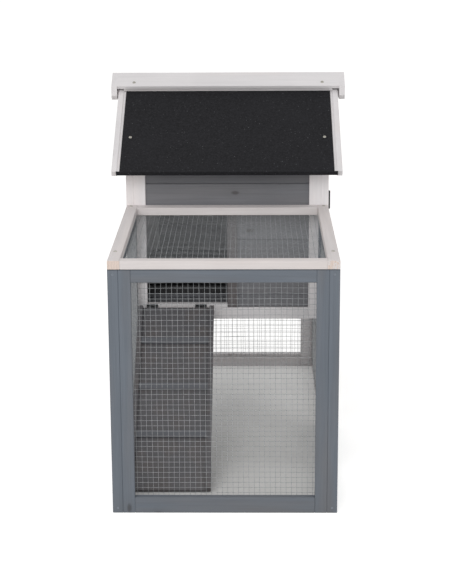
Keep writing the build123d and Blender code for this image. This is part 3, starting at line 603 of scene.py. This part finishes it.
def welded_sheet(name, points, outward, wire):
    """A sheet of welded wire that fills the flat box round these points."""
    low = Vector([spread(points, axis)[0] for axis in (RIGHT, BACK, UP)])
    high = Vector([spread(points, axis)[1] for axis in (RIGHT, BACK, UP)])
    thin = max(range(3), key=lambda axis: abs(outward[axis]))
    first, second = [axis for axis in "XYZ" if "XYZ".index(axis) != thin]
    side = 1 if outward[thin] > 0 else -1
    seat = low[thin] if side > 0 else high[thin]
    levels = [seat + side * wire.diameter * share for share in LAYER_LEVELS]
    layers = [
        wire_layer(low, high, second, first, levels[0], wire.diameter, wire.pitch),
        wire_layer(low, high, first, second, levels[1], wire.diameter, wire.pitch),
    ]
    sheet = joined(name, layers)
    for direction, size in WAVE_SIZES.items():
        cloud = bpy.data.textures.new(f"{name} {direction}", "CLOUDS")
        cloud.noise_scale = size
        share = WAVE_ACROSS if direction == "XYZ"[thin] else 1.0
        apply_modifier(
            sheet, "DISPLACE", texture=cloud, direction=direction, texture_coords="LOCAL",
            strength=wire.waviness * share, mid_level=0.5,
        )
    choose(sheet)
    bpy.ops.object.shade_smooth_by_angle(angle=radians(70))
    return sheet


def model_staple(crown, depth, gauge):
    """A wire staple: a bar with a leg at each end, its feet at the origin's level."""
    start_clean()
    bpy.ops.mesh.primitive_cube_add(size=1, location=(-crown / 2, 0, depth / 2))
    staple = bpy.context.object
    staple.scale = (gauge, gauge, depth)
    settle(staple)
    bpy.ops.object.mode_set(mode="EDIT")
    bpy.ops.mesh.select_mode(type="FACE")
    pick(staple, "faces", lambda face: face.normal.z > 0.9)
    bpy.ops.mesh.extrude_region_move(TRANSFORM_OT_translate={"value": (0, 0, gauge)})
    pick(staple, "faces", lambda face: face.normal.x > 0.9 and face.calc_center_median().z > depth)
    bpy.ops.mesh.extrude_region_move(TRANSFORM_OT_translate={"value": (crown - gauge, 0, 0)})
    pick(staple, "faces", lambda face: face.normal.x > 0.9 and face.calc_center_median().z > depth)
    bpy.ops.mesh.extrude_region_move(TRANSFORM_OT_translate={"value": (gauge, 0, 0)})
    pick(
        staple, "faces",
        lambda face: face.normal.z < -0.9 and face.calc_center_median().x > crown / 2 - gauge / 2,
    )
    bpy.ops.mesh.extrude_region_move(TRANSFORM_OT_translate={"value": (0, 0, -depth)})
    bpy.ops.mesh.select_all(action="SELECT")
    bpy.ops.mesh.normals_make_consistent(inside=False)
    pick(staple, "edges", lambda edge: edge.calc_face_angle(0) > 1.0)
    bpy.ops.mesh.bevel(offset=gauge / 4, segments=1, affect="EDGES")
    bpy.ops.object.mode_set(mode="OBJECT")
    return staple


def staple_places(points, outward, sides, wire):
    """Matrices for the staples along the chosen sides of a wire sheet."""
    thin = max(range(3), key=lambda axis: abs(outward[axis]))
    seat = spread(points, outward)[0]
    axes = [axis for axis in range(3) if axis != thin]
    places = []
    for along, across in (axes, axes[::-1]):
        along_axis, across_axis = Vector(), Vector()
        along_axis[along] = 1
        across_axis[across] = 1
        start, end = spread(points, along_axis)
        count = max(2, round((end - start) / wire.staple_spacing))
        step = (end - start - 4 * WIRE_LAP) / (count - 1)
        for side in (0, 1):
            if (across, side) not in sides:
                continue
            edge = spread(points, across_axis)[side] + (WIRE_LAP / 2) * (1, -1)[side]
            turn = Matrix((along_axis, outward.cross(along_axis), outward)).transposed().to_4x4()
            for number in range(count):
                spot = along_axis * (start + 2 * WIRE_LAP + step * number)
                spot += across_axis * edge + outward * seat
                places.append(Matrix.Translation(spot) @ turn)
    return places


def model_screw(radius, height):
    """A pan head with a cross recess, its seat at the origin."""
    start_clean()
    bpy.ops.mesh.primitive_cylinder_add(
        vertices=24, radius=radius, depth=height, location=(0, 0, height / 2)
    )
    screw = bpy.context.object
    settle(screw)
    bpy.ops.object.mode_set(mode="EDIT")
    bpy.ops.mesh.select_mode(type="EDGE")
    pick(screw, "edges", lambda edge: min(vert.co.z for vert in edge.verts) > height * 0.99)
    bpy.ops.mesh.bevel(offset=height * HEAD_ROUNDING, segments=3, affect="EDGES")
    bpy.ops.object.mode_set(mode="OBJECT")
    for turn in (0, radians(90)):
        start_clean()
        bpy.ops.mesh.primitive_cube_add(size=1, location=(0, 0, height), rotation=(0, 0, turn))
        cutter = bpy.context.object
        cutter.scale = (radius * RECESS_LENGTH, radius * RECESS_WIDTH, height)
        settle(cutter)
        apply_modifier(screw, "BOOLEAN", object=cutter, operation="DIFFERENCE")
        bpy.data.objects.remove(cutter)
    choose(screw)
    bpy.ops.object.shade_smooth_by_angle(angle=radians(40))
    return screw


def standing(spot, outward):
    """The place of a piece that stands on a spot and points outward."""
    return Matrix.Translation(spot) @ outward.to_track_quat("Z", "Y").to_matrix().to_4x4()


def screw_places(node, chosen, down, outward, height):
    """Places of a node's CAD screws that lie in a region, from their own solids."""
    places = []
    for points in solids(node):
        if chosen(points[0]):
            spot = RIGHT * middle(points, RIGHT) + down * middle(points, down)
            spot += outward * (spread(points, outward)[1] - height)
            places.append(standing(spot, outward))
    return places


def leaf_screw_places(node, chosen, pin, across, outward, screws):
    """Three places on each chosen hinge leaf of a node, near the leaf's far edge."""
    along = across.cross(outward)
    places = []
    for points in solids(node):
        if not chosen(points[0]):
            continue
        pin_at = pin.dot(across)
        far = max(spread(points, across), key=lambda end: abs(end - pin_at))
        inset = screws.leaf_inset if far < pin_at else -screws.leaf_inset
        face = spread(points, outward)[0] + LEAF_THICKNESS
        for number in (-1, 0, 1):
            spot = across * (far + inset) + outward * face
            spot += along * (middle(points, along) + number * screws.leaf_spacing)
            places.append(standing(spot, outward))
    return places


def pin_of(joint_name):
    """A point on a hinge's pin."""
    joint = next(joint for joint in frame["joints"] if joint["name"] == joint_name)
    return Vector(joint["pos_m"])


class HUTCH_OT_paint_timber(bpy.types.Operator):
    """Paints the run, the house, the ramp and the floor"""

    bl_idname = "hutch.paint_timber"
    bl_label = "Paint Timber"

    def execute(self, context):
        paint = context.scene.hutch_paint
        run, white, grey = paint.run_frame, paint.joinery, paint.boards
        on_run = {"painted_gap_shade": True, "fade": 0.5}
        on_house = {"show": 0.45, "knot_share": 0.04}
        on_boards = {"planks": True, "knot_share": 0.65}
        dress(painted_wood("run paint upright", run, "Z", **on_run),
              "run_front_stiles", "run_side_stiles", "run_door_stiles")
        dress(painted_wood("run paint across", run, "X", **on_run), "run_front_rails")
        dress(painted_wood("run paint lengthwise", run, "Y", **on_run),
              "run_side_rails", "run_door_rails")
        # the posts get a lighter white as painted light against the shade under the eaves
        dress(painted_wood("white paint upright", scaled(white, POST_PAINTED_LIGHT), "Z", **on_house),
              "house_front_stiles", "house_side_legs", "house_back_stiles", "house_door_stiles")
        dress(painted_wood("white paint across", white, "X", **on_house),
              "house_front_rails", "house_back_rails", "door_sill",
              "ridge_beam", "ridge_battens", "ridge_cap_boards", "roof_decks", "lid_deck")
        dress(painted_wood("white paint lengthwise", white, "Y", **on_house),
              "house_side_rails", "gable_rafters", "ridge_end_plates", "roof_trims", "lid_trims",
              "house_door_rails", "tray_fascia")
        top = paint.top_frame
        dress(painted_wood("top frame paint across", top, "X", show=0.5, knot_share=0.0),
              "run_top_cross_rails")
        dress(painted_wood("top frame paint", top, "Y", bare_ends=True, show=0.6,
                           knot_share=0.04),
              "run_top_side_rails")
        dress(painted_wood("board paint across", grey, "X", **on_boards),
              "house_front_boards", "house_back_boards")
        dress(painted_wood("board paint lengthwise", grey, "Y", **on_boards),
              "gable_boards", "house_door_boards")
        dress(painted_wood("ramp stain", paint.ramp, "Y", slope=RAMP_SLOPE, fade=0.4),
              "ramp_panel", "ramp_side_rails")
        dress(painted_wood("rung stain", paint.rungs, "X"), "ramp_rungs")
        dress(painted_wood("jamb paint", paint.jamb, "Z"), "doorway_jamb")
        dress(painted_wood("floor paint", paint.floor, "X"),
              "house_floor", "tray_guides", "floor_bearers")
        return {"FINISHED"}


class HUTCH_OT_cover_roof(bpy.types.Operator):
    """Covers the roof and its lid with mineral felt"""

    bl_idname = "hutch.cover_roof"
    bl_label = "Cover Roof"

    def execute(self, context):
        dress(mineral_felt("mineral felt", context.scene.hutch_paint.felt),
              "roof_felts", "lid_felt")
        return {"FINISHED"}


class HUTCH_OT_blacken_fittings(bpy.types.Operator):
    """Lacquers the hinges and the bolts, and moulds the tray's plastic"""

    bl_idname = "hutch.blacken_fittings"
    bl_label = "Blacken Fittings"

    def execute(self, context):
        lacquer = smooth_coat("black lacquer", from_screen(30, 30, 32), 0.38, 900.0, 0.0002)
        dress(lacquer, "fixed_hinge_leaves", "hinge_pins", "bolt_keepers", "ramp_hinge_leaves",
              "lid_hinge_leaves", "house_door_hinge_leaves", "run_door_hinge_leaves",
              "house_bolt_plate", "house_bolt", "run_bolt_plate", "run_bolt")
        plastic = context.scene.hutch_paint.plastic
        dress(smooth_coat("moulded plastic", plastic, 0.52, 1400.0, 0.0003), "tray", "tray_knob")
        return {"FINISHED"}


class HUTCH_OT_stretch_wire(bpy.types.Operator):
    """Stretches welded wire over the run, its door and the space under the house"""

    bl_idname = "hutch.stretch_wire"
    bl_label = "Stretch Wire"

    def execute(self, context):
        wire = context.scene.hutch_wire
        galvanised = metal("galvanised wire", from_screen(134, 137, 140),
                           from_screen(168, 170, 172), 0.5, 0.25, 260.0)
        all_round = {(axis, side) for axis in (0, 1, 2) for side in (0, 1)}
        across_ends = {(1, 0), (1, 1)}
        sheets = (
            ("front_wire", "run_front_mesh", "hutch", lambda spot: BACK, all_round),
            ("side_wire", "run_side_meshes", "hutch",
             lambda spot: RIGHT if spot.x < 0 else -RIGHT, all_round),
            ("top_wire", "run_top_mesh", "hutch", lambda spot: -UP, across_ends),
            ("door_wire", "run_door_mesh", "run_door", lambda spot: -RIGHT, all_round),
            ("under_house_wire", "under_house_meshes", "hutch", self.under_house_side, all_round),
        )
        for name, node, body, facing, sides in sheets:
            layers, places = [], []
            for points in solids(node):
                outward = facing(sum(points, Vector()) / len(points))
                layers.append(welded_sheet(name, points, outward, wire))
                places += staple_places(points, outward, sides, wire)
            sheet = joined(name, layers)
            finished(sheet, body, galvanised, [node])
            staple = model_staple(wire.staple_crown, wire.staple_depth, wire.staple_gauge)
            staples = joined(f"{name}_staples", copies(staple, places))
            finished(staples, body, galvanised)
        return {"FINISHED"}

    @staticmethod
    def under_house_side(spot):
        """The inward side of a sheet under the house."""
        house_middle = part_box("house_floor")[1].x / 2
        if spot.x < -house_middle:
            return RIGHT
        return -RIGHT if spot.x > house_middle else -BACK


class HUTCH_OT_drive_screws(bpy.types.Operator):
    """Drives the screws of the run's top and front, the roof and the hinge leaves"""

    bl_idname = "hutch.drive_screws"
    bl_label = "Drive Screws"

    def execute(self, context):
        screws = context.scene.hutch_screws
        top = screw_places("run_top_screws", lambda spot: True, BACK, UP, screws.frame_height)
        self.drive_frame_screws(screws, top)
        self.drive_front_screws(screws, max(abs(place.translation.x) for place in top))
        self.drive_leaf_screws(screws)
        return {"FINISHED"}

    @staticmethod
    def drive_frame_screws(screws, top):
        """Zinc screws in the run's top frame and in the roof."""
        zinc = metal("zinc plate", from_screen(150, 148, 140), from_screen(190, 187, 178),
                     0.36, 0.85, 500.0)
        radius, height = screws.frame_radius, screws.frame_height
        piece = joined("run_top_screw_heads", copies(model_screw(radius, height), top))
        finished(piece, "hutch", zinc, ["run_top_screws"])
        roof = screw_places("roof_screws", lambda spot: spot.y < RIDGE_Y, DOWN_FRONT, OUT_FRONT,
                            height)
        roof += screw_places("roof_screws", lambda spot: spot.y > RIDGE_Y, DOWN_REAR, OUT_REAR,
                             height)
        piece = joined("roof_screw_heads", copies(model_screw(radius, height), roof))
        finished(piece, "hutch", zinc, ["roof_screws"])

    @staticmethod
    def drive_front_screws(screws, edge_x):
        """Screws in the run's front corners, painted over with its frame."""
        height = screws.frame_height
        face_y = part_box("run_side_stiles")[0].y + height - screws.front_proud
        levels = (screws.front_inset, RUN_TOP - screws.front_inset)
        corners = [
            standing(Vector((side * edge_x, face_y, level)), -BACK)
            for side in (-1, 1) for level in levels
        ]
        screw = model_screw(screws.front_radius, height)
        piece = joined("run_front_screw_heads", copies(screw, corners))
        tint = from_screen(112, 118, 126)
        painted = smooth_coat("painted screw heads", tint, 0.5, 900.0, 0.0001)
        finished(piece, "hutch", painted)

    @staticmethod
    def drive_leaf_screws(screws):
        """Black screws in the hinge leaves of the lid and of both doors."""
        black = smooth_coat("black screw lacquer", from_screen(38, 38, 40), 0.34, 1500.0, 0.0001)
        lid, door = pin_of("roof_lid_hinge"), pin_of("house_door_hinge")
        run_door = pin_of("run_door_hinge")
        between_doors = (door.y + run_door.y) / 2
        on_lid = (lid, DOWN_REAR, OUT_REAR)
        on_house = (door, BACK, RIGHT)
        on_run = (run_door, BACK, RIGHT)

        def every(spot):
            return True

        def of_lid(spot):
            return spot.z > LID_LEAVES_ABOVE

        def of_house(spot):
            beside = spot.x > SIDE_LEAVES_BEYOND and spot.z < LID_LEAVES_ABOVE
            return beside and spot.y > between_doors

        def of_run(spot):
            return spot.x > SIDE_LEAVES_BEYOND and spot.y < between_doors

        groups = (
            ("fixed_lid_leaf", "fixed_hinge_leaves", "hutch", of_lid, on_lid),
            ("lid_leaf", "lid_hinge_leaves", "roof_lid", every, on_lid),
            ("fixed_house_leaf", "fixed_hinge_leaves", "hutch", of_house, on_house),
            ("house_leaf", "house_door_hinge_leaves", "house_door", every, on_house),
            ("fixed_run_leaf", "fixed_hinge_leaves", "hutch", of_run, on_run),
            ("run_leaf", "run_door_hinge_leaves", "run_door", every, on_run),
        )
        for name, node, body, chosen, (pin, across, outward) in groups:
            places = leaf_screw_places(node, chosen, pin, across, outward, screws)
            screw = model_screw(screws.leaf_radius, screws.leaf_height)
            piece = joined(f"{name}_screws", copies(screw, places))
            finished(piece, body, black)


# The stage

FLOOR_SIZE = 90
LAMP_TARGET = Vector((0.0, 0.0, 0.45))
KEY_SPOT = Vector((-1.4, -3.3, 2.7))
KEY_SIZE = 2.4
FILL_SPOT = Vector((2.9, -1.6, 1.9))
FILL_SIZE = 2.2
UNDER_INSET = 0.005             # the painted shade inside the hutch starts this far within its rails
FLOOR_PAINTED_SHADE = (-0.5, 0.4, 0.76, 1.0)        # painted shade on the floor inside the hutch, darker towards the front: from y, to y, and the tone at each
FLOOR_PAINTED_SHADE_GLOW = (-0.25, 0.4, 0.03, 0.165)      # the same for the white that the camera sees there, kept low as painted shade
GLOW_OUTSIDE = 0.55             # that white round the hutch


def aimed(yaw, pitch, roll):
    """The turn of a camera that looks along +Y before it is turned, tipped down and leaned."""
    forward = Vector((sin(yaw) * cos(pitch), cos(yaw) * cos(pitch), -sin(pitch)))
    level = Vector((cos(yaw), -sin(yaw), 0))
    upright = level.cross(forward)
    right = level * cos(roll) + upright * sin(roll)
    above = upright * cos(roll) - level * sin(roll)
    return Matrix((right, above, -forward)).transposed().to_4x4()


def soft_lamp(name, spot, target, size, power):
    """A large square lamp that the camera doesn't see."""
    data = bpy.data.lights.new(name, "AREA")
    data.size = size
    data.energy = power
    lamp = bpy.data.objects.new(name, data)
    bpy.context.scene.collection.objects.link(lamp)
    lamp.matrix_world = Matrix.Translation(spot) @ (
        (target - spot).to_track_quat("-Z", "Y").to_matrix().to_4x4()
    )
    lamp.visible_camera = False


def between(tree, value, low, high):
    """One where the value lies between low and high, and zero elsewhere."""
    above = maths(tree, "GREATER_THAN", value, low)
    return maths(tree, "MULTIPLY", above, maths(tree, "LESS_THAN", value, high))


def seen_directly(tree):
    """One for camera, glossy and transmission rays, and zero for the rays that light things."""
    rays = add_node(tree, "ShaderNodeLightPath")
    seen = maths(tree, "MAXIMUM", rays.outputs["Is Camera Ray"], rays.outputs["Is Glossy Ray"])
    return maths(tree, "MAXIMUM", seen, rays.outputs["Is Transmission Ray"])


class HUTCH_OT_set_stage(bpy.types.Operator):
    """Sets the floor, the light and the camera"""

    bl_idname = "hutch.set_stage"
    bl_label = "Set Stage"

    def execute(self, context):
        studio = context.scene.hutch_studio
        self.lay_floor(studio)
        self.light(context.scene, studio)
        data = bpy.data.cameras.new("photo camera")
        data.lens = studio.lens
        data.clip_end = 200.0
        camera = bpy.data.objects.new("photo camera", data)
        context.scene.collection.objects.link(camera)
        turn = aimed(studio.yaw, studio.pitch, studio.roll)
        camera.matrix_world = Matrix.Translation(studio.eye) @ turn
        context.scene.camera = camera
        context.scene.view_settings.view_transform = "Standard"
        return {"FINISHED"}

    @staticmethod
    def lay_floor(studio):
        """A wide pale floor, which shows white round the hutch, and light grey inside it through
        painted shade that darkens towards the front.
        """
        start_clean()
        bpy.ops.mesh.primitive_grid_add(x_subdivisions=8, y_subdivisions=8, size=FLOOR_SIZE)
        floor = bpy.context.object
        floor.name = "studio_floor"
        material, tree, shader, place = new_material("studio floor", 0.9, specular=0.0)
        worn = ramp_value(tree, noise(tree, place, 3.0, 3.0), 0.3, 0.7, 0.0, 0.06)
        tint = mixed(tree, worn, studio.floor, scaled(studio.floor, 0.96))
        shader.inputs["Emission Color"].default_value = (1.0, 1.0, 1.0, 1.0)
        axes = add_node(tree, "ShaderNodeSeparateXYZ", {0: place})
        low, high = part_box("run_front_rails")[0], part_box("house_back_rails")[1]
        under = maths(
            tree, "MULTIPLY",
            between(tree, axes.outputs["X"], -high.x, high.x),
            between(tree, axes.outputs["Y"], low.y + UNDER_INSET, high.y - UNDER_INSET),
        )
        # painted shade: inside the hutch's footprint the floor's colour and its glow are dimmed,
        # more towards the front
        depth = axes.outputs["Y"]
        shade = ramp_value(tree, depth, *FLOOR_PAINTED_SHADE)
        painted_shade = as_grey(tree, ramp_value(tree, under, 0.0, 1.0, 1.0, shade))
        tree.links.new(mixed(tree, 1.0, tint, painted_shade, "MULTIPLY"), shader.inputs["Base Color"])
        inside = ramp_value(tree, depth, *FLOOR_PAINTED_SHADE_GLOW)
        whiten = ramp_value(tree, under, 0.0, 1.0, GLOW_OUTSIDE, inside)
        glow = maths(tree, "MULTIPLY", seen_directly(tree), whiten)
        tree.links.new(glow, shader.inputs["Emission Strength"])
        floor.data.materials.append(material)

    @staticmethod
    def light(scene, studio):
        """An even sky, which shows as white, and two large soft lamps."""
        world = bpy.data.worlds.new("studio sky")
        world.use_nodes = True
        tree = world.node_tree
        background = next(node for node in tree.nodes if node.type == "BACKGROUND")
        background.inputs["Color"].default_value = (1.0, 1.0, 1.0, 1.0)
        strength = ramp_value(tree, seen_directly(tree), 0.0, 1.0, studio.sky, 1.0)
        tree.links.new(strength, background.inputs["Strength"])
        scene.world = world
        soft_lamp("key lamp", KEY_SPOT, LAMP_TARGET, KEY_SIZE, studio.key)
        soft_lamp("fill lamp", FILL_SPOT, LAMP_TARGET, FILL_SIZE, studio.fill)


class HUTCH_PT_sidebar(bpy.types.Panel):
    """Lists the hutch's colours, sizes and steps"""

    bl_idname = "HUTCH_PT_sidebar"
    bl_label = "Guinea Pig Hutch"
    bl_space_type = "VIEW_3D"
    bl_region_type = "UI"
    bl_category = "Hutch"

    def draw(self, context):
        for group in (context.scene.hutch_paint, context.scene.hutch_wire,
                      context.scene.hutch_screws, context.scene.hutch_studio):
            box = self.layout.box()
            for key in group.__annotations__:
                box.prop(group, key)
        for step in STEPS:
            self.layout.operator(step.bl_idname)


STEPS = (
    HUTCH_OT_paint_timber,
    HUTCH_OT_cover_roof,
    HUTCH_OT_blacken_fittings,
    HUTCH_OT_stretch_wire,
    HUTCH_OT_drive_screws,
    HUTCH_OT_set_stage,
)
GROUPS = {
    "hutch_paint": HutchPaint,
    "hutch_wire": HutchWire,
    "hutch_screws": HutchScrews,
    "hutch_studio": HutchStudio,
}
CLASSES = (*GROUPS.values(), *STEPS, HUTCH_PT_sidebar)


def register():
    """Adds the classes and the scene's settings."""
    for cls in CLASSES:
        bpy.utils.register_class(cls)
    for key, group in GROUPS.items():
        setattr(bpy.types.Scene, key, bpy.props.PointerProperty(type=group))


def unregister():
    """Takes the settings and the classes away again."""
    for key in GROUPS:
        delattr(bpy.types.Scene, key)
    for cls in reversed(CLASSES):
        bpy.utils.unregister_class(cls)


def main():
    """Runs every step in order."""
    register()
    bpy.ops.hutch.paint_timber()
    bpy.ops.hutch.cover_roof()
    bpy.ops.hutch.blacken_fittings()
    bpy.ops.hutch.stretch_wire()
    bpy.ops.hutch.drive_screws()
    bpy.ops.hutch.set_stage()


if __name__ == "__main__":
    main()
